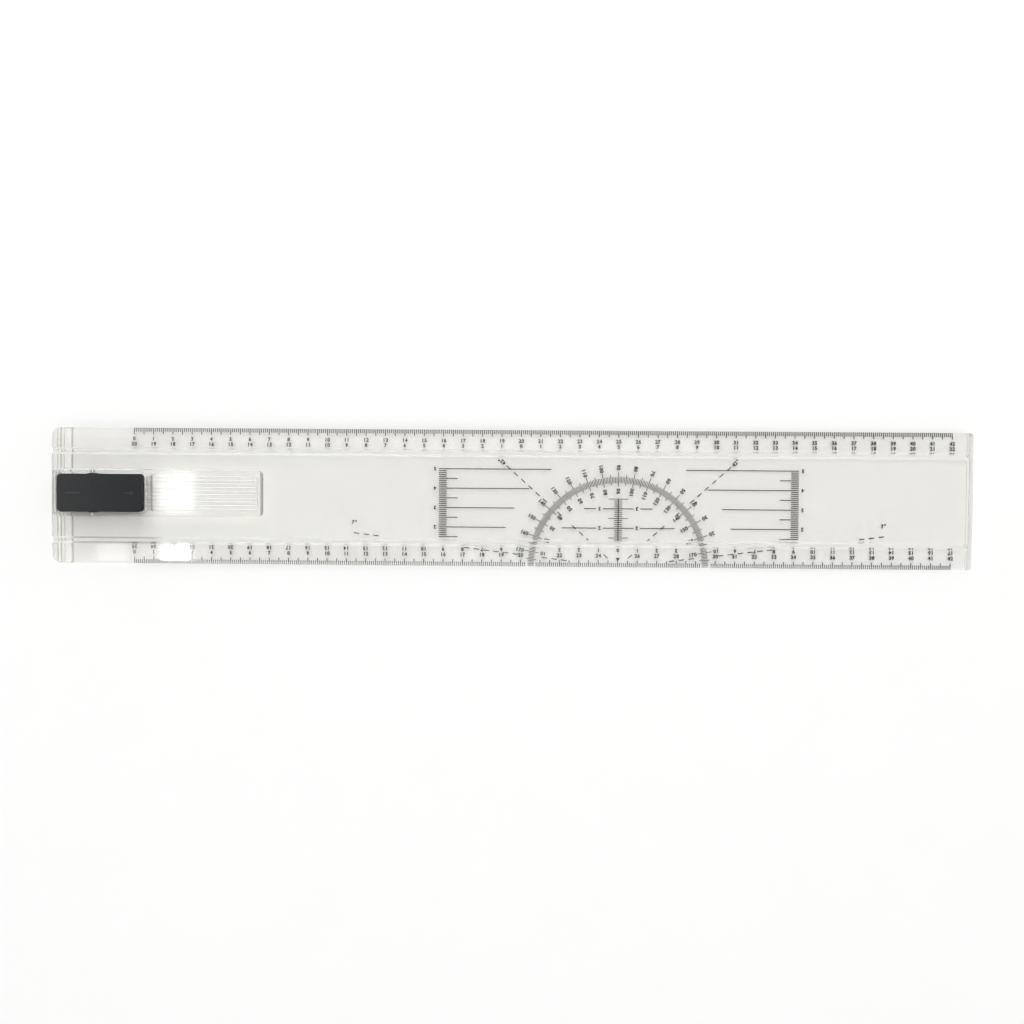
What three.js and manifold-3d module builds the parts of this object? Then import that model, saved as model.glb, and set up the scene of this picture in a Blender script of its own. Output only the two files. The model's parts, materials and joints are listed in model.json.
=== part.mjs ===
// Sliding parallel rule of a drawing board: a clear blade that runs along the board on a guide rail
// under its left end, with a clear ribbed grip and a black rocker that locks and frees it.
// Units are millimetres. Shapes are drawn in the drafting frame: x from the zero of the scale,
// y from the lower ruling edge, z from the flat underside that carries the printed marks.
// The last lines move that frame so that the origin is at the middle of the base.

import * as THREE from 'three';
import { mergeVertices } from 'three/addons/utils/BufferGeometryUtils.js';
import Module from 'manifold-3d';

const wasm = await Module();
wasm.setup();

// ---------- driving dimensions ----------

const gap = 0.3; // clearance between a moving piece and the hole or slot it runs in
const overshoot = 1; // how far a cutting tool runs past the face it cuts

const blade = {
  left: -42, right: 430, width: 70,
  thickness: 4, crest: 3.9, shoulder: 2.6, edge: 1.4, // heights of panel, flange crest, bevel top, edge
  bevel: 1.3, leftCorner: 3.5, rightCorner: 2.5,
};
const groove = { outer: 10.2, wall: 1.1, floor: 1.4, floorHeight: 1.9 }; // two long moulded grooves
const endBead = { width: 2.4, top: 4.6, bottom: -0.8, round: 1.1 }; // raised lip and foot, right end

const rail = {
  left: -40.2, lip: 1.5, slit: 2.0, leg: 4.0, // thin springy lip, slit, thick guiding leg
  web: 0.9, depth: 3.2, endInset: 0.8, endRound: 1.4,
};

const middle = 36.5; // y of the centre line of grip, rocker and brake
const grip = {
  left: -40, right: 67.5, width: 24.4, top: 10, draft: 0.45, corner: 3,
  deck: 2.0, endWall: 2.0,
};
const pocket = { left: -38, right: 8, width: 20.8, corner: 2.2 };
const hollow = { left: 10.4, width: 19, corner: 1.4 }; // under the finger plate
const ribs = {
  count: 10, pitch: 1.84, base: 1.3, crown: 0.6, height: 0.5,
  sunk: 0.2, left: 8.9, right: 65, // sunk: how far a rib's foot reaches into the plate
};

const pin = { x: -19.4, z: 7.8, radius: 1.0, length: 23.4 };
const rocker = {
  leftArm: 16.9, rightArm: 25.9, halfWidth: 9.7, corner: 2,
  crown: 4.6, bottom: -1.4, skin: 1.5, // heights are from the pin axis
  tilt: 3, boss: 2.6, bossProud: 0.2, bossInner: 2.6, // tilt: degrees to each side of level
};
const noseRib = { arm: 13.6, thickness: 1.0, tip: -0.8 }; // cross rib that presses the brake
const clickRib = { arm: 22.9, thickness: 1.0, nose: 0.5, noseZ: -0.6, noseHalf: 0.5 };

const brake = {
  x: -34.4, thickness: 1.4, halfLength: 3.0, bottom: -1.9,
  headHalfLength: 7.7, headWidth: 4.6, headUnder: 5.6, headTop: 6.7,
  ridgeTop: 7.41, ridgeWidth: 1.0, padHeight: 1.0,
};
const coil = {
  offset: 5.9, radius: 1.4, wire: 0.22, turns: 4, seat: 2.0, seatRadius: 1.9, top: 5.5,
  stepsPerTurn: 14, wireSegments: 3, // segments along a turn, and in each arc of the round wire
};

const leaf = {
  baseLeft: -5.5, fingerX: 1.2, thickness: 0.4, halfWidth: 4, tip: 9.0,
  bulge: 0.5, bulgeZ: 7.2, bulgeHalf: 0.9,
};
const screw = {
  x: -2.6, radius: 0.95, head: 1.9, headHeight: 1.3, depth: 2.9,
  slotWidth: 0.5, slotDepth: 0.6,
};

const bladeMiddleX = (blade.left + blade.right) / 2;
const railRight = rail.left + rail.lip + rail.slit + rail.leg;
const roundSteps = 6; // segments in a quarter-round plan corner
const circleSteps = 24; // sides of pins, bores and bosses
const mergeDistance = 1e-4; // corners closer than this are one corner

// ---------- shape helpers ----------

const axisX = new THREE.Vector3(1, 0, 0);
const axisY = new THREE.Vector3(0, 1, 0);
const axisZ = new THREE.Vector3(0, 0, 1);

function solid(geometry) {
  const bare = geometry.index ? geometry.toNonIndexed() : geometry.clone();
  bare.deleteAttribute('normal');
  bare.deleteAttribute('uv');
  const merged = mergeVertices(bare, mergeDistance);
  return new wasm.Manifold(new wasm.Mesh({
    numProp: 3,
    vertProperties: new Float32Array(merged.attributes.position.array),
    triVerts: new Uint32Array(merged.index.array),
  }));
}

function geometryOf(manifold) {
  const mesh = manifold.getMesh();
  const geometry = new THREE.BufferGeometry();
  geometry.setAttribute('position', new THREE.BufferAttribute(new Float32Array(mesh.vertProperties), 3));
  geometry.setIndex(new THREE.BufferAttribute(new Uint32Array(mesh.triVerts), 1));
  geometry.computeVertexNormals();
  return geometry;
}

function outline(points) {
  return new THREE.Shape(points.map(([u, v]) => new THREE.Vector2(u, v)));
}

// A rectangle with one radius on its left corners and one on its right corners.
function roundedRectangle(x0, x1, y0, y1, leftRadius, rightRadius = leftRadius) {
  const shape = new THREE.Shape();
  const quarter = Math.PI / 2;
  shape.moveTo(x0 + leftRadius, y0);
  shape.lineTo(x1 - rightRadius, y0);
  shape.absarc(x1 - rightRadius, y0 + rightRadius, rightRadius, -quarter, 0, false);
  shape.lineTo(x1, y1 - rightRadius);
  shape.absarc(x1 - rightRadius, y1 - rightRadius, rightRadius, 0, quarter, false);
  shape.lineTo(x0 + leftRadius, y1);
  shape.absarc(x0 + leftRadius, y1 - leftRadius, leftRadius, quarter, 2 * quarter, false);
  shape.lineTo(x0, y0 + leftRadius);
  shape.absarc(x0 + leftRadius, y0 + leftRadius, leftRadius, 2 * quarter, 3 * quarter, false);
  return shape;
}

function extruded(shape, depth) {
  return new THREE.ExtrudeGeometry(shape, { depth, bevelEnabled: false, curveSegments: roundSteps });
}

// A plan shape (x, y) raised from z0 to z1.
function raised(shape, z0, z1) {
  return solid(extruded(shape, z1 - z0).translate(0, 0, z0));
}

// A cross-section (y, z) run along x from x0 to x1.
function alongX(points, x0, x1) {
  const turn = new THREE.Matrix4().makeBasis(axisY, axisZ, axisX);
  return solid(extruded(outline(points), x1 - x0).applyMatrix4(turn).translate(x0, 0, 0));
}

// A cross-section (x, z) run along y from y0 to y1.
function alongY(points, y0, y1) {
  const turn = new THREE.Matrix4().makeBasis(axisX, axisZ, axisY.clone().negate());
  return solid(extruded(outline(points), y1 - y0).applyMatrix4(turn).translate(0, y1, 0));
}

function box(x0, x1, y0, y1, z0, z1) {
  const geometry = new THREE.BoxGeometry(x1 - x0, y1 - y0, z1 - z0);
  return solid(geometry.translate((x0 + x1) / 2, (y0 + y1) / 2, (z0 + z1) / 2));
}

// A round bar along y, which is how CylinderGeometry stands.
function barAlongY(x, z, radius, y0, y1) {
  const geometry = new THREE.CylinderGeometry(radius, radius, y1 - y0, circleSteps);
  return solid(geometry.translate(x, (y0 + y1) / 2, z));
}

function post(x, y, radius, z0, z1) {
  const geometry = new THREE.CylinderGeometry(radius, radius, z1 - z0, circleSteps).rotateX(Math.PI / 2);
  return solid(geometry.translate(x, y, (z0 + z1) / 2));
}

// ---------- materials ----------

const clearAcrylic = new THREE.MeshStandardMaterial({
  color: 0xe6e4e0, roughness: 0.08, metalness: 0, transparent: true, opacity: 0.35,
});
const blackPlastic = new THREE.MeshStandardMaterial({ color: 0x38383a, roughness: 0.55, metalness: 0 });
const steel = new THREE.MeshStandardMaterial({ color: 0xb8babd, roughness: 0.3, metalness: 1 });
const rubber = new THREE.MeshStandardMaterial({ color: 0x2a2a2a, roughness: 0.9, metalness: 0 });

function part(name, manifold, material) {
  const mesh = new THREE.Mesh(geometryOf(manifold), material);
  mesh.name = name;
  return mesh;
}

// ---------- blade ----------

// One half of the blade's cross-section, from the lower edge to the start of the middle panel.
function bladeFlank() {
  const inner = groove.outer + 2 * groove.wall + groove.floor;
  return [
    [0, 0],
    [0, blade.edge],
    [blade.bevel, blade.shoulder],
    [groove.outer, blade.crest],
    [groove.outer + groove.wall, groove.floorHeight],
    [inner - groove.wall, groove.floorHeight],
    [inner, blade.thickness],
  ];
}

function bladeSection() {
  const lower = bladeFlank();
  const upper = lower.map(([y, z]) => [blade.width - y, z]).reverse();
  return [...lower, ...upper].reverse();
}

// The lip across the right end, rounded along its top.
function beadSection() {
  const x0 = blade.right - endBead.width;
  const x1 = blade.right;
  const arcZ = endBead.top - endBead.round;
  const points = [[x0, endBead.bottom], [x1, endBead.bottom]];
  for (let step = 0; step <= 2 * roundSteps; step += 1) {
    const angle = (step / roundSteps) * Math.PI / 2;
    const centreX = step <= roundSteps ? x1 - endBead.round : x0 + endBead.round;
    points.push([
      centreX + endBead.round * Math.cos(angle),
      arcZ + endBead.round * Math.sin(angle),
    ]);
  }
  return points;
}

// The slot that the brake slider runs in, through the blade and the rail.
function brakeSlot(z0, z1) {
  const halfThickness = brake.thickness / 2 + gap;
  const halfLength = brake.halfLength + gap;
  return box(
    brake.x - halfThickness, brake.x + halfThickness,
    middle - halfLength, middle + halfLength, z0, z1,
  );
}

function makeBlade() {
  const plan = roundedRectangle(
    blade.left, blade.right, 0, blade.width, blade.leftCorner, blade.rightCorner,
  );
  const beadTop = endBead.top + overshoot;
  let body = alongX(bladeSection(), blade.left, blade.right);
  body = body.add(alongY(beadSection(), 0, blade.width));
  body = body.intersect(raised(plan, endBead.bottom - overshoot, beadTop));
  body = body.subtract(brakeSlot(-overshoot, blade.thickness + overshoot));
  for (const side of [-1, 1]) {
    const seatY = middle + side * coil.offset;
    body = body.subtract(post(brake.x, seatY, coil.seatRadius, coil.seat, blade.thickness + overshoot));
  }
  const pilot = screw.radius + gap;
  const pilotFloor = blade.thickness - screw.depth - gap;
  body = body.subtract(post(screw.x, middle, pilot, pilotFloor, blade.thickness + overshoot));
  return part('rule_blade', body, clearAcrylic);
}

// ---------- guide rail ----------

function makeRail() {
  const slitLeft = rail.left + rail.lip;
  const slitRight = slitLeft + rail.slit;
  const below = -rail.depth - overshoot;
  const plan = roundedRectangle(
    rail.left, railRight, rail.endInset, blade.width - rail.endInset, rail.endRound,
  );
  let body = raised(plan, -rail.depth, 0);
  body = body.subtract(box(slitLeft, slitRight, -overshoot, blade.width + overshoot, below, -rail.web));
  body = body.subtract(brakeSlot(below, overshoot));
  return part('guide_rail', body, clearAcrylic);
}

// ---------- grip ----------

function gripShell() {
  const y0 = middle - grip.width / 2;
  const y1 = middle + grip.width / 2;
  const plan = roundedRectangle(grip.left, grip.right, y0, y1, grip.corner);
  const floor = blade.thickness;
  const ends = [
    [grip.left, floor], [grip.right, floor],
    [grip.right - grip.draft, grip.top], [grip.left + grip.draft, grip.top],
  ];
  const sides = [[y0, floor], [y1, floor], [y1 - grip.draft, grip.top], [y0 + grip.draft, grip.top]];
  let body = raised(plan, floor, grip.top);
  body = body.intersect(alongY(ends, y0 - overshoot, y1 + overshoot));
  body = body.intersect(alongX(sides, grip.left - overshoot, grip.right + overshoot));
  return body;
}

// The finger plate's ribs run along the rule, so that a thumb pushes it up and down the board.
function fingerRib(index) {
  const centre = middle + (index - (ribs.count - 1) / 2) * ribs.pitch;
  return alongX([
    [centre - ribs.base / 2, grip.top - ribs.sunk],
    [centre + ribs.base / 2, grip.top - ribs.sunk],
    [centre + ribs.crown / 2, grip.top + ribs.height],
    [centre - ribs.crown / 2, grip.top + ribs.height],
  ], ribs.left, ribs.right);
}

function makeGrip() {
  const floor = blade.thickness;
  const pocketPlan = roundedRectangle(
    pocket.left, pocket.right, middle - pocket.width / 2, middle + pocket.width / 2, pocket.corner,
  );
  const hollowPlan = roundedRectangle(
    hollow.left, grip.right - grip.endWall - grip.draft,
    middle - hollow.width / 2, middle + hollow.width / 2, hollow.corner,
  );
  let body = gripShell();
  body = body.subtract(raised(pocketPlan, floor - overshoot, grip.top + overshoot));
  body = body.subtract(raised(hollowPlan, floor - overshoot, grip.top - grip.deck));
  for (let index = 0; index < ribs.count; index += 1) {
    body = body.add(fingerRib(index));
  }
  const pinHole = barAlongY(pin.x, pin.z, pin.radius + gap, middle - grip.width, middle + grip.width);
  body = body.subtract(pinHole);
  return part('grip_housing', body, clearAcrylic);
}

// ---------- rocker, drawn level about its pin ----------

function rockerSide(inset, bottom) {
  const slope = Math.tan(THREE.MathUtils.degToRad(rocker.tilt));
  const left = -rocker.leftArm + inset;
  const right = rocker.rightArm - inset;
  const crown = rocker.crown - inset;
  return [
    [left, bottom], [right, bottom], [right, crown + right * slope],
    [0, crown], [left, crown - left * slope],
  ];
}

function rockerCap() {
  const half = rocker.halfWidth;
  const plan = roundedRectangle(-rocker.leftArm, rocker.rightArm, -half, half, rocker.corner);
  const tall = rocker.crown + rocker.leftArm;
  let cap = alongY(rockerSide(0, rocker.bottom), -half, half);
  cap = cap.intersect(raised(plan, rocker.bottom - overshoot, tall));
  const innerHalf = half - rocker.skin;
  return cap.subtract(alongY(rockerSide(rocker.skin, rocker.bottom - overshoot), -innerHalf, innerHalf));
}

function makeRocker() {
  const half = rocker.halfWidth;
  const innerHalf = half - rocker.skin;
  const ribTop = rocker.crown - rocker.skin / 2;
  let body = rockerCap();
  for (const side of [-1, 1]) {
    const near = side * (half - rocker.bossInner);
    const far = side * (half + rocker.bossProud);
    body = body.add(barAlongY(0, 0, rocker.boss, Math.min(near, far), Math.max(near, far)));
  }
  body = body.add(box(
    -noseRib.arm - noseRib.thickness / 2, -noseRib.arm + noseRib.thickness / 2,
    -innerHalf - gap, innerHalf + gap, noseRib.tip, ribTop,
  ));
  const clickFace = clickRib.arm - clickRib.thickness / 2;
  body = body.add(box(
    clickFace, clickFace + clickRib.thickness, -innerHalf - gap, innerHalf + gap, rocker.bottom, ribTop,
  ));
  body = body.add(alongY([
    [clickFace + gap, clickRib.noseZ - clickRib.noseHalf],
    [clickFace + gap, clickRib.noseZ + clickRib.noseHalf],
    [clickFace - clickRib.nose, clickRib.noseZ],
  ].reverse(), -leaf.halfWidth, leaf.halfWidth));
  body = body.subtract(barAlongY(0, 0, pin.radius + gap, -2 * half, 2 * half));
  return part('rocker_button', body, blackPlastic);
}

// ---------- pin, brake and springs ----------

function makePin() {
  const half = pin.length / 2;
  return part('rocker_pin', barAlongY(pin.x, pin.z, pin.radius, middle - half, middle + half), steel);
}

function makeBrakeSlider() {
  const half = brake.thickness / 2;
  const headHalf = brake.headWidth / 2;
  const ridgeX = pin.x - noseRib.arm;
  let body = box(
    brake.x - half, brake.x + half, middle - brake.halfLength, middle + brake.halfLength,
    brake.bottom, brake.headTop,
  );
  body = body.add(box(
    brake.x - headHalf, brake.x + headHalf, middle - brake.headHalfLength, middle + brake.headHalfLength,
    brake.headUnder, brake.headTop,
  ));
  body = body.add(box(
    ridgeX - brake.ridgeWidth / 2, ridgeX + brake.ridgeWidth / 2,
    middle - brake.headHalfLength, middle + brake.headHalfLength, brake.headUnder + gap, brake.ridgeTop,
  ));
  return part('brake_slider', body, blackPlastic);
}

function makeBrakePad() {
  const half = brake.thickness / 2;
  return part('brake_pad', box(
    brake.x - half, brake.x + half, middle - brake.halfLength, middle + brake.halfLength,
    brake.bottom - brake.padHeight, brake.bottom,
  ), rubber);
}

// A coil of round wire standing in its seat in the blade, up to just under the brake's head.
class Helix extends THREE.Curve {
  constructor(x, y, z0, z1) {
    super();
    Object.assign(this, { x, y, z0, z1 });
  }

  getPoint(t, target = new THREE.Vector3()) {
    const angle = t * coil.turns * 2 * Math.PI;
    return target.set(
      this.x + coil.radius * Math.cos(angle),
      this.y + coil.radius * Math.sin(angle),
      this.z0 + (this.z1 - this.z0) * t,
    );
  }
}

function makeReturnSpring(name, side) {
  const path = new Helix(
    brake.x, middle + side * coil.offset, coil.seat + 2 * coil.wire, coil.top - coil.wire,
  );
  const section = new THREE.Shape().absarc(0, 0, coil.wire, 0, 2 * Math.PI, false);
  const geometry = new THREE.ExtrudeGeometry(section, {
    steps: coil.turns * coil.stepsPerTurn, curveSegments: coil.wireSegments,
    bevelEnabled: false, extrudePath: path,
  });
  return part(name, solid(geometry), steel);
}

// A steel strip: a flat foot under the screw, then an upright finger with a bulge for the click.
function makeClickSpring() {
  const t = leaf.thickness;
  const x0 = leaf.fingerX;
  const floor = blade.thickness;
  const low = leaf.bulgeZ - leaf.bulgeHalf;
  const high = leaf.bulgeZ + leaf.bulgeHalf;
  let body = alongY([
    [leaf.baseLeft, floor], [x0 + t, floor], [x0 + t, low],
    [x0 + t + leaf.bulge, leaf.bulgeZ], [x0 + t, high], [x0 + t, leaf.tip],
    [x0, leaf.tip], [x0, high], [x0 + leaf.bulge, leaf.bulgeZ], [x0, low],
    [x0, floor + t], [leaf.baseLeft, floor + t],
  ], middle - leaf.halfWidth, middle + leaf.halfWidth);
  const hole = post(screw.x, middle, screw.radius + gap, floor - overshoot, floor + t + overshoot);
  body = body.subtract(hole);
  return part('click_spring', body, steel);
}

function makeScrew() {
  const seat = blade.thickness + leaf.thickness;
  const top = seat + screw.headHeight;
  let body = post(screw.x, middle, screw.radius, blade.thickness - screw.depth, seat + gap);
  body = body.add(post(screw.x, middle, screw.head, seat, top));
  body = body.subtract(box(
    screw.x - screw.slotWidth / 2, screw.x + screw.slotWidth / 2,
    middle - screw.head - overshoot, middle + screw.head + overshoot, top - screw.slotDepth, top + overshoot,
  ));
  return part('click_spring_screw', body, steel);
}

// ---------- assembly ----------

const rockerGroup = new THREE.Group();
rockerGroup.position.set(pin.x, middle, pin.z);
// at rest the rule is free: the rocker's right side is down
rockerGroup.rotation.y = THREE.MathUtils.degToRad(rocker.tilt);
rockerGroup.add(makeRocker());

const rule = new THREE.Group();
rule.position.set(-bladeMiddleX, -blade.width / 2, rail.depth);
rule.add(
  makeBlade(),
  makeRail(),
  makeGrip(),
  makePin(),
  rockerGroup,
  makeBrakeSlider(),
  makeBrakePad(),
  makeReturnSpring('return_spring_front', -1),
  makeReturnSpring('return_spring_rear', 1),
  makeClickSpring(),
  makeScrew(),
);

export default rule;
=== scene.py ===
import json
import math

import bmesh
import bpy
from mathutils import Matrix, Vector


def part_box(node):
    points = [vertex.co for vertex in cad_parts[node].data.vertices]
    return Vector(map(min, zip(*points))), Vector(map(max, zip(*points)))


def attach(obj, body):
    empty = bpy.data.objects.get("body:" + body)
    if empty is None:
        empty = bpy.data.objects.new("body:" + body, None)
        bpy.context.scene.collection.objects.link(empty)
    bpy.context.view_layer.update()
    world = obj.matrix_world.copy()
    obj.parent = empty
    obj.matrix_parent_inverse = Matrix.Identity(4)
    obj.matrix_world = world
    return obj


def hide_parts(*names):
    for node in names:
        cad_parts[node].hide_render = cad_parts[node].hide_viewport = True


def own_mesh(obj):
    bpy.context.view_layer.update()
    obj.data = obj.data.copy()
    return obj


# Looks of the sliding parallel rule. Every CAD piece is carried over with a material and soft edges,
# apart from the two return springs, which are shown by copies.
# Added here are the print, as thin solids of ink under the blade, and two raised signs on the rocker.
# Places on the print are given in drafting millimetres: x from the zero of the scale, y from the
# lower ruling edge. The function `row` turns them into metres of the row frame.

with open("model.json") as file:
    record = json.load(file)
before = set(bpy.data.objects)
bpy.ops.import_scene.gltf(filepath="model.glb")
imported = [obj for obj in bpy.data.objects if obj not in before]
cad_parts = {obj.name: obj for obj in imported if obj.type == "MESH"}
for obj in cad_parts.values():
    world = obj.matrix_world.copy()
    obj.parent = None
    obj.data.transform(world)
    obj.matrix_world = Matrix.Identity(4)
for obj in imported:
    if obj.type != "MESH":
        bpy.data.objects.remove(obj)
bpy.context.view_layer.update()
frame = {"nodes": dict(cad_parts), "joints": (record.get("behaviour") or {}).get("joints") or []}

MM = 0.001

# ---------- places taken from the frame ----------

BLADE_LOW, BLADE_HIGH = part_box("rule_blade")
RAIL_LOW, RAIL_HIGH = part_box("guide_rail")
GRIP_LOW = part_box("grip_housing")[0]
UNDERSIDE = RAIL_HIGH.z  # the printed face of the blade
MARGIN_BEFORE_ZERO = 42  # from the blade's left end to the zero of the scale
WIDTH = (BLADE_HIGH.y - BLADE_LOW.y) / MM
JOINT_SINK = 0.03  # how far a bonded clear piece reaches into the blade, in millimetres
ROCKER_HINGE = next(joint for joint in frame["joints"] if joint["name"] == "rocker_tilt")

# ---------- print, in drafting millimetres ----------

INK_GAP = 0.01  # between the blade and the top of the ink
INK_THICKNESS = 0.03
FINE_LINE = 0.4
RING_LINE = 0.28
SPOKE_LINE = 0.32
DASH_LINE = 0.48
TICK_LINE = 0.43
BOLD_LINE = 0.42

SCALE_LENGTH = 420
EDGE_MARGIN = 0.1  # bare rim between the ruling edge and the ticks
SHORT_TICK = 2.2
LONG_TICK = 3.5
FIGURE_HEIGHT = 2.05
FIGURE_ADVANCE = 1.45  # from one figure of a number to the next
UPPER_ROWS = (64.3, 61.6)
UPPER_TURN = 20  # the second row counts down to zero here, in centimetres
LOWER_ROWS = (6.0, 8.8)
LOWER_TURN = 25

CENTRE_X = 250  # the protractor's centre is on the lower edge
RING_INNER, RING_OUTER = 43.2, 46.4
RING_CLEARANCE = 1.0  # bare band beside the ring where it crosses the lower scale
FIVE_DEGREES = (42.1, 47.5)
TEN_DEGREES = (41.5, 48.7)
OUTER_FIGURES = 51.2
INNER_FIGURES = 39.0

LADDER_X = 92.3  # outer side of a side ladder, from the centre
LADDER_TICK = 4.0
LADDER_HALF_TICK = 9.7
LADDER_FIGURES = 94.3
LADDER_BASE, LADDER_TOP = 15, 50
LADDER_LINES = {20: 57.8, 30: 53.2, 40: 45.8, 50: 34.5}  # height: inner end, from the centre

MAST_BASE, MAST_TOP = 13.5, 35
MAST_TICK = 2.0
MAST_HALF_TICK = 5.0
MAST_LINES = {20: 29.0, 30: 17.6}  # height: outer end, from the centre
MAST_FIGURES = 9.6
MAST_FIGURE_GAP = 1.7

STEEP_ANGLE, SHALLOW_ANGLE = 42, 7
DASH = 2.8
DASH_PITCH = 5.05
# a row of dashes: where the first starts, from the centre, the pitch, how many, and the ones left out
STEEP_DASHES = (74.6, -DASH_PITCH, 13, {6, 8, 12})
SHALLOW_DASHES = (26.5, DASH_PITCH, 11, {3, 4})
FAR_SHALLOW_DASHES = (124.2, DASH_PITCH, 3, set())
STEEP_INNERMOST = 7.0  # where the innermost steep dash starts
STEEP_LABEL = 80.6  # from the centre, along the ray
SHALLOW_LABEL = (135.8, 22.1)  # from the centre, along the rule and across it

POINTER_HALF, POINTER_TOP, POINTER_TIP = 1.1, 4.9, 3.0  # a triangle at the middle of the lower scale

# ---------- frosting of the acrylic's moulded walls, by the size of the normal's height ----------

STEEPEST_FLAT = (0.5, 0.66)  # between these a wall fades from sloping to flat
FLATTEST_UPRIGHT = (0.2, 0.35)  # between these a wall fades from upright to sloping
POLISHED_FROST, BEAD_FROST = 0.06, 0.6
POLISH_FROM = (300, 375)  # drafting places along the rule between which the frosting fades
BEAD_FROM = (426, 426.5)
# painted shade beside the rocker, on the grooves below it and as its dark reflection in the ribs:
# between which places it fades in, between which it fades out, and how far up the rule it goes
GROOVE_PAINTED_SHADE = (-33, -29), (9, 16), WIDTH / 2
# on the grip's ribs the painted shade stands for the black rocker's dark reflection
RIB_PAINTED_SHADE = (2, 3), (10, 14), WIDTH
PAINTED_SHADE_FADE = 1  # to each side of its upper limit

# ---------- looks ----------

# two tones that a noise pattern runs between
BLADE_TINTS = (0.775, 0.769, 0.753), (0.76, 0.755, 0.74)
RAIL_TINTS = (0.945, 0.945, 0.945), (0.93, 0.93, 0.93)
GRIP_TINTS = (0.975, 0.975, 0.97), (0.96, 0.96, 0.955)
BLACK_TONES = (0.013, 0.014, 0.017), (0.036, 0.037, 0.038)
SIGN_TONES = (0.027, 0.027, 0.029), (0.052, 0.052, 0.054)
STEEL_TONES = (0.55, 0.55, 0.56), (0.70, 0.70, 0.71)
RUBBER_TONES = (0.016, 0.016, 0.016), (0.032, 0.031, 0.030)
INK_TONES = (0.006, 0.006, 0.007), (0.022, 0.022, 0.022)
FLOOR_TONES = (0.93, 0.93, 0.93), (0.945, 0.945, 0.945)
FROST_TONE = (0.97, 0.97, 0.96)
# tones of the painted shade beside the rocker: on the blade's grooves, and as the rocker's dark
# reflection in the grip's ribs
GROOVE_PAINTED_SHADE_TONE = (0.2, 0.15, 0.1)
RIB_PAINTED_SHADE_TONE = (0.3, 0.29, 0.27)

# least and most roughness
ACRYLIC_ROUGHNESS = (0.02, 0.07)
BLACK_ROUGHNESS = (0.5, 0.68)
SIGN_ROUGHNESS = (0.3, 0.42)
STEEL_ROUGHNESS = (0.2, 0.38)
RUBBER_ROUGHNESS = (0.75, 0.95)
INK_ROUGHNESS = (0.35, 0.6)

# noise patterns: a higher scale is finer, and a small stretch value draws them out along that axis
WAVES = {"scale": 60, "stretch": (0.5, 1, 1)}
WEAR = {"scale": 900, "stretch": (0.08, 1, 1), "detail": 4.0}
ERODED = {"scale": 6000, "detail": 3.0}
RUBBED = {"scale": 220, "stretch": (0.4, 1, 1)}
DRAWN = {"scale": 5000, "stretch": (1, 0.05, 1), "detail": 3.0}
RUBBER_GRAIN = {"scale": 3500, "detail": 4.0}
INK_GRAIN = {"scale": 1500, "detail": 3.0}
FLOOR_GRAIN = {"scale": 30}

# strength of a bump, and its depth in metres
WAVES_BUMP = (0.05, 0.0002)
ERODED_BUMP = (0.5, 0.00004)
DRAWN_BUMP = (0.2, 0.00001)
RUBBER_BUMP = (0.6, 0.00005)

ACRYLIC_IOR = 1.49
BLUE_PASSED = 0.99  # of a lamp's light in the acrylic's shadow, beside red and green
BLACK_SHINE = 0.2  # specular level of the black plastic
# what makes the black plastic paler: painted light on its left end, which fades between two drafting
# places, and rubbing
LEFT_END_PAINTED_LIGHT = (-36, 0)
LEFT_END_PAINTED_LIGHT_SHARE = 0.5
RUBBED_SHARE = 0.5

# ---------- edges of the CAD pieces ----------

SHARP = math.radians(25)  # edges that turn by more than this get rounded
FLAT = math.radians(0.5)  # faces that turn by less than this become one
WELD_DISTANCE = 1e-6  # corners this close are one corner; the frame's triangles each have their own
# radius of the rounding in millimetres; the short edges of the blade, rail and grip hold theirs back
EDGE_ROUNDING = {
    "rule_blade": 0.25,
    "guide_rail": 0.2,
    "grip_housing": 0.2,
    "rocker_button": 0.35,
    "brake_slider": 0.15,
    "brake_pad": 0.12,
    "rocker_pin": 0.15,
    "click_spring": 0.05,
    "click_spring_screw": 0.12,
}
# faces that are bonded to the blade: their height, and how far they sink into it, in metres
BONDED_FACES = {
    "guide_rail": (RAIL_HIGH.z, JOINT_SINK * MM),
    "grip_housing": (GRIP_LOW.z, -JOINT_SINK * MM),
}


def row(x, y, z=0.0):
    """A drafting place, in millimetres, as a point of the row frame, with z above the printed face."""
    along = BLADE_LOW.x + (x + MARGIN_BEFORE_ZERO) * MM
    return Vector((along, BLADE_LOW.y + y * MM, UNDERSIDE + z * MM))


def rows(places):
    """Drafting places along the rule, as x of the row frame."""
    return [row(x, 0).x for x in places]


def new_object(name, data):
    thing = bpy.data.objects.new(name, data)
    bpy.context.scene.collection.objects.link(thing)
    return thing


def close_prism(mesh, lower, upper):
    """Makes a solid of two rings of corners, which both run anticlockwise."""
    mesh.faces.new(upper)
    mesh.faces.new(list(reversed(lower)))
    for index in range(len(lower)):
        after = (index + 1) % len(lower)
        mesh.faces.new([lower[index], lower[after], upper[after], upper[index]])


# ---------- material nodes ----------


def new_material(name):
    material = bpy.data.materials.new(name)
    material.use_nodes = True
    tree = material.node_tree
    tree.nodes.clear()
    return material, tree


def add(tree, kind, **inputs):
    """A node with its plain inputs set: a value for each, or another node's output."""
    node = tree.nodes.new(kind)
    for label, value in inputs.items():
        socket = node.inputs[label.replace("_", " ")]
        if isinstance(value, bpy.types.NodeSocket):
            tree.links.new(value, socket)
        else:
            socket.default_value = value
    return node


def stretched_noise(tree, scale, stretch=(1, 1, 1), detail=2.0):
    """Noise in the object's own space. A small stretch value draws it out along that axis."""
    place = tree.nodes.new("ShaderNodeTexCoord").outputs["Object"]
    mapping = add(tree, "ShaderNodeMapping", Vector=place, Scale=stretch).outputs[0]
    noise = add(tree, "ShaderNodeTexNoise", Vector=mapping, Scale=scale, Detail=detail)
    return noise.outputs["Fac"]


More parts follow.
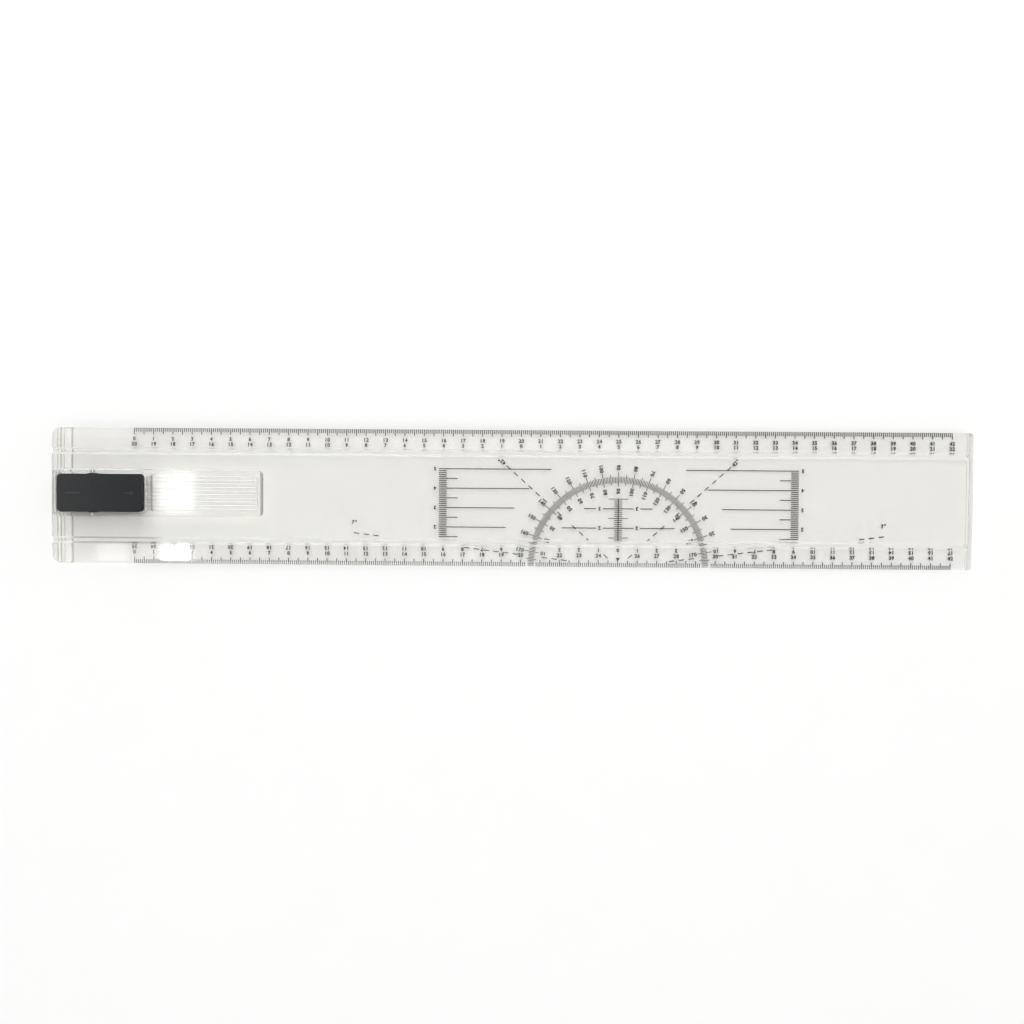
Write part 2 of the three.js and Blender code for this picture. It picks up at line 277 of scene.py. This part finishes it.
def ranged(tree, value, low, high, from_low=0.3, from_high=0.7):
    """Maps a value to between `low` and `high`. Noise lies mostly between the two `from` defaults."""
    node = add(tree, "ShaderNodeMapRange", Value=value)
    node.inputs["From Min"].default_value = from_low
    node.inputs["From Max"].default_value = from_high
    node.inputs["To Min"].default_value = low
    node.inputs["To Max"].default_value = high
    return node.outputs["Result"]


def two_tones(tree, factor, first, second):
    node = tree.nodes.new("ShaderNodeMix")
    node.data_type = "RGBA"
    tree.links.new(factor, node.inputs[0])
    colour_inputs = [socket for socket in node.inputs if socket.type == "RGBA"]
    colour_inputs[0].default_value = (*first, 1)
    colour_inputs[1].default_value = (*second, 1)
    return next(socket for socket in node.outputs if socket.type == "RGBA")


def maths(tree, operation, first, second=0.0):
    node = tree.nodes.new("ShaderNodeMath")
    node.operation = operation
    for socket, value in zip(node.inputs, (first, second)):
        if isinstance(value, bpy.types.NodeSocket):
            tree.links.new(value, socket)
        else:
            socket.default_value = value
    return node.outputs[0]


def bump(tree, height, strength, distance):
    node = add(tree, "ShaderNodeBump", Height=height, Strength=strength, Distance=distance)
    return node.outputs["Normal"]


def finish(tree, shader):
    output = tree.nodes.new("ShaderNodeOutputMaterial")
    tree.links.new(shader, output.inputs["Surface"])


def mixed(tree, share, first, second):
    """The shader `first`, with a share of `second`."""
    node = tree.nodes.new("ShaderNodeMixShader")
    tree.links.new(share, node.inputs["Fac"])
    tree.links.new(first.outputs[0], node.inputs[1])
    tree.links.new(second.outputs[0], node.inputs[2])
    return node


def grained(name, pattern, tones, roughness, relief=None, metallic=0.0):
    """A material whose tone and roughness follow one noise pattern, and its bump too with `relief`."""
    material, tree = new_material(name)
    grain = stretched_noise(tree, **pattern)
    shader = add(
        tree, "ShaderNodeBsdfPrincipled",
        Base_Color=two_tones(tree, grain, *tones), Metallic=metallic,
        Roughness=ranged(tree, grain, *roughness),
    )
    if relief:
        tree.links.new(bump(tree, grain, *relief), shader.inputs["Normal"])
    finish(tree, shader.outputs[0])
    return material


def moulded_walls(tree, sloping_share, upright_share, painted_shade_place):
    """How much of the acrylic's walls is frosted, and how much of that is painted shade beside the
    rocker.

    Sloping walls are frosted along most of the rule, less towards the right end, and more on its bead.
    """
    painted_shade_from, painted_shade_to, painted_shade_below = painted_shade_place
    coordinates = tree.nodes.new("ShaderNodeTexCoord")
    up = add(tree, "ShaderNodeSeparateXYZ", Vector=coordinates.outputs["Normal"]).outputs["Z"]
    place = add(tree, "ShaderNodeSeparateXYZ", Vector=coordinates.outputs["Object"]).outputs
    lean = maths(tree, "ABSOLUTE", up)
    not_flat = ranged(tree, lean, 1.0, 0.0, *STEEPEST_FLAT)
    not_upright = ranged(tree, lean, 0.0, 1.0, *FLATTEST_UPRIGHT)
    moulded = ranged(tree, place["X"], sloping_share, POLISHED_FROST, *rows(POLISH_FROM))
    bead = ranged(tree, place["X"], 0.0, BEAD_FROST, *rows(BEAD_FROM))
    along = maths(tree, "MAXIMUM", maths(tree, "MULTIPLY", not_upright, moulded), bead)
    sloping = maths(tree, "MULTIPLY", not_flat, along)
    upright = ranged(tree, lean, upright_share, 0.0, *FLATTEST_UPRIGHT)
    # painted shade: between two places along the rule, and below a height across it
    begun = ranged(tree, place["X"], 0.0, 1.0, *rows(painted_shade_from))
    not_ended = ranged(tree, place["X"], 1.0, 0.0, *rows(painted_shade_to))
    fade_from, fade_to = row(0, painted_shade_below - PAINTED_SHADE_FADE).y, row(0, painted_shade_below + PAINTED_SHADE_FADE).y
    lower_side = ranged(tree, place["Y"], 1.0, 0.0, fade_from, fade_to)
    painted_shade = maths(tree, "MULTIPLY", lower_side, maths(tree, "MULTIPLY", begun, not_ended))
    return maths(tree, "MAXIMUM", sloping, upright), painted_shade


def acrylic(name, tints, lamp_tint, sloping_share, upright_share, painted_shade_tone, painted_shade_place):
    """Clear acrylic with moulding waves, fine wear along the rule, and frosted walls that take a
    painted shade beside the rocker.

    `lamp_tint` is the share of a lamp's light that each surface lets through to the floor.
    """
    material, tree = new_material(name)
    waves = stretched_noise(tree, **WAVES)
    wear = stretched_noise(tree, **WEAR)
    surface = add(
        tree, "ShaderNodeBsdfPrincipled",
        Base_Color=two_tones(tree, waves, *tints), IOR=ACRYLIC_IOR,
        Roughness=ranged(tree, wear, *ACRYLIC_ROUGHNESS), Normal=bump(tree, waves, *WAVES_BUMP),
    )
    surface.inputs["Transmission Weight"].default_value = 1.0
    frosted, painted_shade = moulded_walls(tree, sloping_share, upright_share, painted_shade_place)
    # the frost turns to the painted shade tone where the mask lies beside the rocker
    frost = add(tree, "ShaderNodeBsdfDiffuse", Color=two_tones(tree, painted_shade, FROST_TONE, painted_shade_tone))
    passed = (lamp_tint, lamp_tint, lamp_tint * BLUE_PASSED, 1)
    clear = add(tree, "ShaderNodeBsdfTransparent", Color=passed)
    lamp = tree.nodes.new("ShaderNodeLightPath").outputs["Is Shadow Ray"]
    finish(tree, mixed(tree, lamp, mixed(tree, frosted, surface, frost), clear).outputs[0])
    return material


def black_plastic(name, tones, roughness):
    """Matt black moulding with a fine spark-eroded grain, made paler towards its left end by painted
    light.
    """
    material, tree = new_material(name)
    grain = stretched_noise(tree, **ERODED)
    rub = stretched_noise(tree, **RUBBED)
    place = tree.nodes.new("ShaderNodeTexCoord").outputs["Object"]
    along = add(tree, "ShaderNodeSeparateXYZ", Vector=place).outputs["X"]
    # painted light: the left end is paler, fading out towards the right end
    left_end_light = ranged(tree, along, LEFT_END_PAINTED_LIGHT_SHARE, 0.0, *rows(LEFT_END_PAINTED_LIGHT))
    lit_and_rubbed = maths(tree, "ADD", left_end_light, maths(tree, "MULTIPLY", rub, RUBBED_SHARE))
    shader = add(
        tree, "ShaderNodeBsdfPrincipled",
        Base_Color=two_tones(tree, lit_and_rubbed, *tones), Roughness=ranged(tree, rub, *roughness),
        Normal=bump(tree, grain, *ERODED_BUMP),
    )
    shader.inputs["Specular IOR Level"].default_value = BLACK_SHINE
    finish(tree, shader.outputs[0])
    return material


def pale_floor():
    material, tree = new_material("floor_look")
    tone = two_tones(tree, stretched_noise(tree, **FLOOR_GRAIN), *FLOOR_TONES)
    finish(tree, add(tree, "ShaderNodeBsdfDiffuse", Color=tone).outputs[0])
    return material


# ---------- carried-over CAD pieces ----------


def joined_face(height, sink):
    """A modifier tree that marks sharp edges for rounding, but none on the face at `height`.

    It also sinks that face into its neighbour, so that light passes the joint as in one moulding.
    """
    group = bpy.data.node_groups.new("joined_face", "GeometryNodeTree")
    group.interface.new_socket("Geometry", in_out="INPUT", socket_type="NodeSocketGeometry")
    group.interface.new_socket("Geometry", in_out="OUTPUT", socket_type="NodeSocketGeometry")
    enter = group.nodes.new("NodeGroupInput")
    leave = group.nodes.new("NodeGroupOutput")
    position = group.nodes.new("GeometryNodeInputPosition").outputs["Position"]
    level = add(group, "ShaderNodeSeparateXYZ", Vector=position).outputs["Z"]
    on_joint = group.nodes.new("FunctionNodeCompare")
    on_joint.data_type = "FLOAT"
    on_joint.operation = "EQUAL"
    group.links.new(level, on_joint.inputs["A"])
    on_joint.inputs["B"].default_value = height
    on_joint.inputs["Epsilon"].default_value = abs(sink) / 2
    angle = group.nodes.new("GeometryNodeInputMeshEdgeAngle").outputs["Unsigned Angle"]
    sharp = maths(group, "GREATER_THAN", angle, SHARP)
    weight = maths(group, "MAXIMUM", maths(group, "SUBTRACT", sharp, on_joint.outputs["Result"]))
    store = group.nodes.new("GeometryNodeStoreNamedAttribute")
    store.domain = "EDGE"
    store.data_type = "FLOAT"
    store.inputs["Name"].default_value = "bevel_weight_edge"
    group.links.new(enter.outputs[0], store.inputs["Geometry"])
    group.links.new(weight, store.inputs["Value"])
    move = group.nodes.new("GeometryNodeSetPosition")
    group.links.new(store.outputs["Geometry"], move.inputs["Geometry"])
    group.links.new(on_joint.outputs["Result"], move.inputs["Selection"])
    move.inputs["Offset"].default_value = (0, 0, sink)
    group.links.new(move.outputs["Geometry"], leave.inputs[0])
    return group


def dress(node, material, segments=2, clamp=True):
    """Gives a CAD piece its material and rounds its edges.

    With `clamp`, the rounding is held back to what the piece's shortest edges leave room for.
    """
    piece = frame["nodes"][node]
    for slot in piece.material_slots:
        slot.material = material
    weld = piece.modifiers.new("weld", "WELD")
    weld.merge_threshold = WELD_DISTANCE
    flats = piece.modifiers.new("flats", "DECIMATE")
    flats.decimate_type = "DISSOLVE"
    flats.angle_limit = FLAT
    if node in BONDED_FACES:
        marks = piece.modifiers.new("joined_face", "NODES")
        marks.node_group = joined_face(*BONDED_FACES[node])
    soft = piece.modifiers.new("soft_edges", "BEVEL")
    soft.width = EDGE_ROUNDING[node] * MM
    soft.segments = segments
    soft.limit_method = "WEIGHT" if node in BONDED_FACES else "ANGLE"
    soft.angle_limit = SHARP
    soft.use_clamp_overlap = clamp
    close = piece.modifiers.new("close", "WELD")
    close.merge_threshold = WELD_DISTANCE


def shortening_spring(node, material):
    """A copy of a coil spring that stands in for it."""
    spring = new_object("coil_of_" + node, frame["nodes"][node].data.copy())
    shape = bmesh.new()
    shape.from_mesh(spring.data)
    bmesh.ops.remove_doubles(shape, verts=shape.verts, dist=WELD_DISTANCE)
    shape.to_mesh(spring.data)
    shape.free()
    for slot in spring.material_slots:
        slot.material = material
    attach(spring, "rule")
    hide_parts(node)
    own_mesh(spring)


def dress_cad_pieces():
    # the blade's painted shade darkens its walls near the rocker, on the lower half of the rule
    blade_clear = acrylic(
        "blade_acrylic_look", BLADE_TINTS, lamp_tint=0.905, sloping_share=0.4, upright_share=0.0,
        painted_shade_tone=GROOVE_PAINTED_SHADE_TONE, painted_shade_place=GROOVE_PAINTED_SHADE,
    )
    rail_clear = acrylic(
        "rail_acrylic_look", RAIL_TINTS, lamp_tint=1.0, sloping_share=0.4, upright_share=0.5,
        painted_shade_tone=FROST_TONE, painted_shade_place=GROOVE_PAINTED_SHADE,
    )
    # the grip's painted shade is the rocker's dark reflection in the ribs beside it
    grip_clear = acrylic(
        "grip_acrylic_look", GRIP_TINTS, lamp_tint=1.0, sloping_share=0.9, upright_share=0.3,
        painted_shade_tone=RIB_PAINTED_SHADE_TONE, painted_shade_place=RIB_PAINTED_SHADE,
    )
    black = black_plastic("black_plastic_look", BLACK_TONES, BLACK_ROUGHNESS)
    metal = grained("steel_look", DRAWN, STEEL_TONES, STEEL_ROUGHNESS, DRAWN_BUMP, metallic=1.0)
    rubber = grained("rubber_look", RUBBER_GRAIN, RUBBER_TONES, RUBBER_ROUGHNESS, RUBBER_BUMP)
    dress("rule_blade", blade_clear)
    dress("guide_rail", rail_clear)
    dress("grip_housing", grip_clear)
    dress("rocker_button", black, segments=3, clamp=False)
    dress("brake_slider", black)
    dress("brake_pad", rubber)
    for node in ("rocker_pin", "click_spring", "click_spring_screw"):
        dress(node, metal)
    for node in ("return_spring_front", "return_spring_rear"):
        shortening_spring(node, metal)


# ---------- print ----------

FIGURE_CURVE_STEPS = 3
FIGURE_BOLDNESS = 0.042  # of the font's size
FIGURE_WELD = 1e-5
UPSIDE_DOWN = 180


def figure_shapes(characters):
    """Each character as an upright shape one high and centred, flat in the plane."""
    shapes = {}
    for character in characters:
        curve = bpy.data.curves.new("figure", "FONT")
        curve.body = character
        curve.resolution_u = FIGURE_CURVE_STEPS
        curve.offset = FIGURE_BOLDNESS
        text = new_object("figure", curve)
        bpy.context.view_layer.update()
        flat = bpy.data.meshes.new_from_object(text)
        shape = bmesh.new()
        shape.from_mesh(flat)
        bmesh.ops.remove_doubles(shape, verts=shape.verts, dist=FIGURE_WELD)
        shapes[character] = shape
        bpy.data.objects.remove(text)
        bpy.data.curves.remove(curve)
        bpy.data.meshes.remove(flat)
    tall = [vertex.co.y for vertex in shapes["0"].verts]
    unit = 1 / (max(tall) - min(tall))
    middle = (max(tall) + min(tall)) / 2
    for shape in shapes.values():
        wide = [vertex.co.x for vertex in shape.verts]
        centre = (max(wide) + min(wide)) / 2
        for vertex in shape.verts:
            vertex.co = Vector(((vertex.co.x - centre) * unit, (vertex.co.y - middle) * unit, 0))
    return shapes


FIGURES = figure_shapes("0123456789°")


class Print:
    """One block of print: thin closed solids of ink, drawn in drafting millimetres."""

    def __init__(self):
        self.mesh = bmesh.new()

    def prism(self, corners):
        """A flat shape from its corners, which run anticlockwise."""
        lower = [self.mesh.verts.new(row(x, y, -INK_GAP - INK_THICKNESS)) for x, y in corners]
        upper = [self.mesh.verts.new(row(x, y, -INK_GAP)) for x, y in corners]
        close_prism(self.mesh, lower, upper)

    def stroke(self, x0, y0, x1, y1, width):
        along = Vector((x1 - x0, y1 - y0)).normalized() * width / 2
        side = Vector((-along.y, along.x))
        self.prism([
            (x0 + side.x, y0 + side.y), (x0 - side.x, y0 - side.y),
            (x1 - side.x, y1 - side.y), (x1 + side.x, y1 + side.y),
        ])

    def spoke(self, degrees, start, end, width):
        """A stroke along a ray from the protractor's centre, between two radii."""
        across, up = math.cos(math.radians(degrees)), math.sin(math.radians(degrees))
        self.stroke(CENTRE_X + start * across, start * up, CENTRE_X + end * across, end * up, width)

    def figure(self, character, x, y, degrees, height):
        """Copies a figure's shape, and closes it into a thin solid."""
        turn = Matrix.Rotation(math.radians(degrees), 2)
        layers = []
        shape = FIGURES[character]
        for depth in (-INK_GAP, -INK_GAP - INK_THICKNESS):
            copies = {}
            for vertex in shape.verts:
                place = turn @ Vector((vertex.co.x, vertex.co.y)) * height
                copies[vertex] = self.mesh.verts.new(row(x + place.x, y + place.y, depth))
            layers.append(copies)
        upper, lower = layers
        for face in shape.faces:
            loop = list(face.verts)
            if face.normal.z < 0:
                loop.reverse()
            self.mesh.faces.new([upper[vertex] for vertex in loop])
            self.mesh.faces.new([lower[vertex] for vertex in reversed(loop)])
        for edge in shape.edges:
            if len(edge.link_faces) == 1:
                a, b = edge.verts
                self.mesh.faces.new([upper[a], upper[b], lower[b], lower[a]])

    def number(self, text, x, y, degrees=0.0, height=FIGURE_HEIGHT):
        advance = FIGURE_ADVANCE * height / FIGURE_HEIGHT
        for index, character in enumerate(text):
            along = (index - (len(text) - 1) / 2) * advance
            across, up = math.cos(math.radians(degrees)), math.sin(math.radians(degrees))
            self.figure(character, x + along * across, y + along * up, degrees, height)

    def finish(self, name, material):
        bmesh.ops.recalc_face_normals(self.mesh, faces=self.mesh.faces)
        data = bpy.data.meshes.new(name)
        self.mesh.to_mesh(data)
        self.mesh.free()
        data.materials.append(material)
        piece = new_object(name, data)
        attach(piece, "rule")


def edge_ticks(block, edge, inward, bare):
    """The millimetre ticks of one ruling edge. `bare` says which millimetres stay empty."""
    for millimetre in range(SCALE_LENGTH + 1):
        if bare(millimetre):
            continue
        long = millimetre % 5 == 0
        reach = LONG_TICK if long else SHORT_TICK
        width = TICK_LINE if long else FINE_LINE
        start = edge + inward * EDGE_MARGIN
        block.stroke(millimetre, start, millimetre, edge + inward * reach, width)


def print_upper_scale(material):
    block = Print()
    edge_ticks(block, WIDTH, -1, lambda millimetre: False)
    for centimetre in range(SCALE_LENGTH // 10 + 1):
        block.number(str(centimetre), centimetre * 10, UPPER_ROWS[0])
        block.number(str(abs(UPPER_TURN - centimetre)), centimetre * 10, UPPER_ROWS[1])
    block.finish("print_upper_scale", material)


def under_ring(x):
    """True where the protractor's ring crosses the lower scale."""
    distance = abs(x - CENTRE_X)
    return RING_INNER - RING_CLEARANCE < distance < RING_OUTER + RING_CLEARANCE


def print_lower_scale(material):
    """The lower scale, which makes way for the protractor's ring and lowest figures.

    Its second row counts both ways from the middle, and is upside down, to be read from above.
    """
    block = Print()
    edge_ticks(block, 0, 1, under_ring)
    taken_first = {21, 29}
    taken_second = {20, 21, 29, 30}
    for centimetre in range(SCALE_LENGTH // 10 + 1):
        if centimetre not in taken_first and centimetre != LOWER_TURN:
            block.number(str(centimetre), centimetre * 10, LOWER_ROWS[0])
        if centimetre not in taken_second:
            count = str(abs(LOWER_TURN - centimetre))
            block.number(count, centimetre * 10, LOWER_ROWS[1], UPSIDE_DOWN)
    pointer_left, pointer_right = CENTRE_X - POINTER_HALF, CENTRE_X + POINTER_HALF
    block.prism([(pointer_left, POINTER_TOP), (CENTRE_X, POINTER_TIP), (pointer_right, POINTER_TOP)])
    block.finish("print_lower_scale", material)


def print_protractor(material):
    block = Print()
    for degree in range(1, 180):
        block.spoke(degree, RING_INNER, RING_OUTER, RING_LINE)
        if degree % 10 == 0:
            block.spoke(degree, *TEN_DEGREES, SPOKE_LINE)
        elif degree % 5 == 0:
            block.spoke(degree, *FIVE_DEGREES, SPOKE_LINE)
    for degree in range(10, 180, 10):
        across, up = math.cos(math.radians(degree)), math.sin(math.radians(degree))
        outer = (CENTRE_X + OUTER_FIGURES * across, OUTER_FIGURES * up)
        inner = (CENTRE_X + INNER_FIGURES * across, INNER_FIGURES * up)
        block.number(str(degree), *outer, degree + UPSIDE_DOWN)
        block.number(str(180 - degree), *inner, degree)
    block.finish("print_protractor", material)


def print_side_ladder(side, material):
    """A height ladder beside the protractor. `side` is -1 for the left one and 1 for the right one."""
    block = Print()
    outer = CENTRE_X + side * LADDER_X
    for height in range(LADDER_BASE, LADDER_TOP + 1):
        if height in LADDER_LINES:
            inner = CENTRE_X + side * LADDER_LINES[height]
            block.number(str(height // 10), CENTRE_X + side * LADDER_FIGURES, height, UPSIDE_DOWN)
        elif height % 5 == 0:
            inner = outer - side * LADDER_HALF_TICK
        else:
            inner = outer - side * LADDER_TICK
        block.stroke(outer, height, inner, height, BOLD_LINE)
    block.finish("print_ladder_left" if side < 0 else "print_ladder_right", material)


def print_mast(material):
    """The ladder on the protractor's centre line."""
    block = Print()
    block.stroke(CENTRE_X, MAST_BASE, CENTRE_X, MAST_TOP, BOLD_LINE)
    for height in range(math.ceil(MAST_BASE), MAST_TOP + 1):
        if height in MAST_LINES:
            before, after = MAST_FIGURES - MAST_FIGURE_GAP, MAST_FIGURES + MAST_FIGURE_GAP
            block.stroke(CENTRE_X - before, height, CENTRE_X + before, height, TICK_LINE)
            for side in (-1, 1):
                x0, x1 = CENTRE_X + side * after, CENTRE_X + side * MAST_LINES[height]
                block.stroke(x0, height, x1, height, TICK_LINE)
                block.number(str(height // 10), CENTRE_X + side * MAST_FIGURES, height, UPSIDE_DOWN)
        else:
            reach = MAST_HALF_TICK if height % 5 == 0 else MAST_TICK
            block.stroke(CENTRE_X - reach, height, CENTRE_X + reach, height, SPOKE_LINE)
    block.finish("print_mast", material)


def dash_starts(first, pitch, count, left_out):
    return [first + step * pitch for step in range(count) if step not in left_out]


def print_angle_lines(material):
    """Dashed rays at 42 and 7 degrees to each side, with gaps where other print is."""
    block = Print()
    steep_starts = dash_starts(*STEEP_DASHES) + [STEEP_INNERMOST]
    shallow_starts = dash_starts(*SHALLOW_DASHES) + dash_starts(*FAR_SHALLOW_DASHES)
    for side in (-1, 1):
        steep = 90 - side * (90 - STEEP_ANGLE)
        shallow = 90 - side * (90 - SHALLOW_ANGLE)
        for degrees, starts in ((steep, steep_starts), (shallow, shallow_starts)):
            for start in starts:
                block.spoke(degrees, start, start + DASH, DASH_LINE)
        across, up = math.cos(math.radians(steep)), math.sin(math.radians(steep))
        block.number(f"{STEEP_ANGLE}°", CENTRE_X + STEEP_LABEL * across, STEEP_LABEL * up, steep)
        label_x, label_y = CENTRE_X + side * SHALLOW_LABEL[0], SHALLOW_LABEL[1]
        block.number(f"{SHALLOW_ANGLE}°", label_x, label_y, side * SHALLOW_ANGLE)
    block.finish("print_angle_lines", material)


def print_everything():
    black = grained("ink_look", INK_GRAIN, INK_TONES, INK_ROUGHNESS)
    print_upper_scale(black)
    print_lower_scale(black)
    print_protractor(black)
    print_side_ladder(-1, black)
    print_side_ladder(1, black)
    print_mast(black)
    print_angle_lines(black)


# ---------- raised signs on the rocker, in millimetres and degrees ----------

ROCKER_CROWN = 4.6  # from the pin's axis to the middle of the rocker's top
ROCKER_SLOPE = 3  # each half of the top rises outward by this many degrees
ROCKER_REST = 3  # the right side is down by this many degrees at rest
SIGN_PROUD = 0.16
SIGN_SUNK = 0.2
SIGN_EDGE = 0.08
LOCK_ARM, FREE_ARM = -9.0, 19.7  # from the pin to the middle of each sign
BAR_SIGN = [(-3.6, -0.55), (3.6, -0.55), (3.6, 0.55), (-3.6, 0.55)]
ARROW_SIGN = [
    (-2.7, -0.4), (0.6, -0.4), (0.6, -1.4), (2.8, 0), (0.6, 1.4), (0.6, 0.4), (-2.7, 0.4),
]


def raised_sign(name, corners, arm, material):
    """A flat sign that stands proud of the rocker's top, at `arm` millimetres from the pin."""
    side = 1 if arm > 0 else -1
    slope = math.tan(math.radians(ROCKER_SLOPE))
    mesh = bmesh.new()
    rings = []
    for lift in (-SIGN_SUNK, SIGN_PROUD):
        ring = []
        for along, across in corners:
            x = arm + along
            height = ROCKER_CROWN + side * x * slope + lift
            ring.append(mesh.verts.new(Vector((x, across, height)) * MM))
        rings.append(ring)
    close_prism(mesh, *rings)
    rest = Matrix.Rotation(math.radians(ROCKER_REST), 4, "Y")
    mesh.transform(Matrix.Translation(Vector(ROCKER_HINGE["pos_m"])) @ rest)
    data = bpy.data.meshes.new(name)
    mesh.to_mesh(data)
    mesh.free()
    data.materials.append(material)
    piece = new_object(name, data)
    soft = piece.modifiers.new("soft_edges", "BEVEL")
    soft.width = SIGN_EDGE * MM
    soft.segments = 2
    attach(piece, "rocker")


def raise_signs():
    rubbed = black_plastic("raised_sign_look", SIGN_TONES, SIGN_ROUGHNESS)
    raised_sign("rocker_sign_lock", BAR_SIGN, LOCK_ARM, rubbed)
    raised_sign("rocker_sign_free", ARROW_SIGN, FREE_ARM, rubbed)


# ---------- stage: floor, lamps and camera ----------

CAMERA_PLACE = Vector((16.5, 19.6, 735.6)) * MM
CAMERA_TARGET = Vector((1.4, -7.1, 3.2)) * MM
CAMERA_ROLL = 0.4
LENS, SENSOR = 50, 36
FLOOR_HALF = 8.0  # half of a side, in metres
FLOOR_DROP = 0.02  # millimetres from the rail's foot down to the floor

SUN_WIDTH = 40  # degrees
SUN_LEAN = 40  # degrees to each side
UPPER_SUN, LOWER_SUN = 0.24, 0.09  # brightness
STRIP_PLACE = Vector((0, 0.24, 1.42))  # metres, as is its size
STRIP_SIZE = (1.6, 0.2)
STRIP_RADIANCE = 5.7

MIRRORED_DISTANCE = 1.6  # from the face that mirrors a lamp to the lamp, in metres
GRIP_TOP = 10  # height of the finger plate above the printed face, in millimetres
FLANGE_TOP = 3.2  # and of the bevels beside the ruling edges
BEVEL_LEAN = 8.3  # degrees
# name: two drafting places, height of the face that mirrors it, its lean to the lower edge, radiance
MIRRORED_LAMPS = {
    "window_on_grip": ((15, 27), (33, 46.8), GRIP_TOP, 0, 4.2),
    "window_on_flange": ((14.0, -1), (30.2, 10.4), FLANGE_TOP, BEVEL_LEAN, 20),
    "glow_before_scale": ((-19, -1), (-3, 10.4), FLANGE_TOP, BEVEL_LEAN, 4.5),
    "glow_on_flange": ((-3, -1), (12, 10.4), FLANGE_TOP, BEVEL_LEAN, 1.9),
    "glow_on_upper_flange": ((-42, 60), (300, 72), FLANGE_TOP, -BEVEL_LEAN, 1.5),
}

ROOM_TONE = (1.0, 0.995, 0.985, 1)
# brightness of the room, from and to, while the height of the direction goes from and to
LOW_DOWN = (0.85, 0.55, 0.15, 0.5)
TAKEN_OVERHEAD = (0.0, 0.25, 0.72, 0.94)  # subtracted from it


def make_camera():
    data = bpy.data.cameras.new("camera")
    data.lens = LENS
    data.sensor_width = SENSOR
    camera = new_object("camera", data)
    forward = (CAMERA_TARGET - CAMERA_PLACE).normalized()
    roll = math.radians(CAMERA_ROLL)
    right = forward.cross(Vector((-math.sin(roll), math.cos(roll), 0))).normalized()
    upward = right.cross(forward)
    turn = Matrix((right, upward, -forward)).transposed()
    camera.matrix_world = Matrix.Translation(CAMERA_PLACE) @ turn.to_4x4()
    bpy.context.scene.camera = camera


def make_floor():
    """A large pale plane that touches the rail's foot at one end and the bead's foot at the other."""
    corners = [
        (-FLOOR_HALF, -FLOOR_HALF, 0), (FLOOR_HALF, -FLOOR_HALF, 0),
        (FLOOR_HALF, FLOOR_HALF, 0), (-FLOOR_HALF, FLOOR_HALF, 0),
    ]
    mesh = bpy.data.meshes.new("floor")
    mesh.from_pydata(corners, [], [(0, 1, 2, 3)])
    mesh.materials.append(pale_floor())
    floor = new_object("floor", mesh)
    rise = BLADE_LOW.z - RAIL_LOW.z
    run = BLADE_HIGH.x - RAIL_HIGH.x
    tilt = Matrix.Rotation(-math.atan2(rise, run), 4, "Y")
    foot = Vector((RAIL_HIGH.x, 0, RAIL_LOW.z - FLOOR_DROP * MM))
    floor.matrix_world = Matrix.Translation(foot) @ tilt @ Matrix.Translation((-foot.x, 0, 0))


def area_lamp(name, place, facing, size_x, size_y, radiance):
    """A softbox at `place` that faces the point `facing`. Radiance 1 is as bright as the floor."""
    data = bpy.data.lights.new(name, "AREA")
    data.shape = "RECTANGLE"
    data.size = size_x
    data.size_y = size_y
    data.energy = radiance * math.pi * size_x * size_y
    lamp = new_object(name, data)
    outward = (place - facing).normalized()
    across = Vector((0, 1, 0)).cross(outward).normalized()
    turn = Matrix((across, outward.cross(across), outward)).transposed()
    lamp.matrix_world = Matrix.Translation(place) @ turn.to_4x4()


def soft_sun(name, lean, brightness):
    """A far, wide lamp that leans from overhead by `lean` degrees.

    Brightness 1 makes a white floor white.
    """
    data = bpy.data.lights.new(name, "SUN")
    data.energy = brightness * math.pi / math.cos(math.radians(lean))
    data.angle = math.radians(SUN_WIDTH)
    lamp = new_object(name, data)
    lamp.matrix_world = Matrix.Rotation(math.radians(-lean), 4, "X")


def mirrored_lamp(name, low, high, height, slope, radiance):
    """A softbox placed so that the camera sees it mirrored between two drafting places.

    `slope` is how far the mirroring face leans towards the lower edge, in degrees.
    """
    lean = math.radians(slope)
    normal = Vector((0, -math.sin(lean), math.cos(lean)))
    middle = row((low[0] + high[0]) / 2, (low[1] + high[1]) / 2, height)

    def reach(x, y):
        spot = row(x, y, height)
        return spot + (spot - CAMERA_PLACE).normalized().reflect(normal) * MIRRORED_DISTANCE

    place = reach((low[0] + high[0]) / 2, (low[1] + high[1]) / 2)
    size_x = (reach(high[0], low[1]) - reach(low[0], low[1])).length
    size_y = (reach(low[0], high[1]) - reach(low[0], low[1])).length
    area_lamp(name, place, middle, size_x, size_y, radiance)


def make_lamps():
    soft_sun("sun_upper", SUN_LEAN, UPPER_SUN)
    soft_sun("sun_lower", -SUN_LEAN, LOWER_SUN)
    area_lamp("strip_overhead", STRIP_PLACE, Vector((0, 0, 0)), *STRIP_SIZE, STRIP_RADIANCE)
    for name, lamp in MIRRORED_LAMPS.items():
        mirrored_lamp(name, *lamp)


def make_surround():
    """A soft room: bright low down all round, and dim overhead where the blade mirrors it."""
    world = bpy.data.worlds.new("room")
    bpy.context.scene.world = world
    world.use_nodes = True
    tree = world.node_tree
    tree.nodes.clear()
    direction = tree.nodes.new("ShaderNodeTexCoord").outputs["Generated"]
    up = add(tree, "ShaderNodeSeparateXYZ", Vector=direction).outputs["Z"]
    low_down = ranged(tree, up, *LOW_DOWN)
    overhead = ranged(tree, up, *TAKEN_OVERHEAD)
    light = maths(tree, "SUBTRACT", low_down, overhead)
    sky = add(tree, "ShaderNodeBackground", Color=ROOM_TONE, Strength=light)
    output = tree.nodes.new("ShaderNodeOutputWorld")
    tree.links.new(sky.outputs[0], output.inputs["Surface"])


dress_cad_pieces()
print_everything()
raise_signs()
make_camera()
make_floor()
make_lamps()
make_surround()
bpy.context.scene.view_settings.view_transform = "Standard"
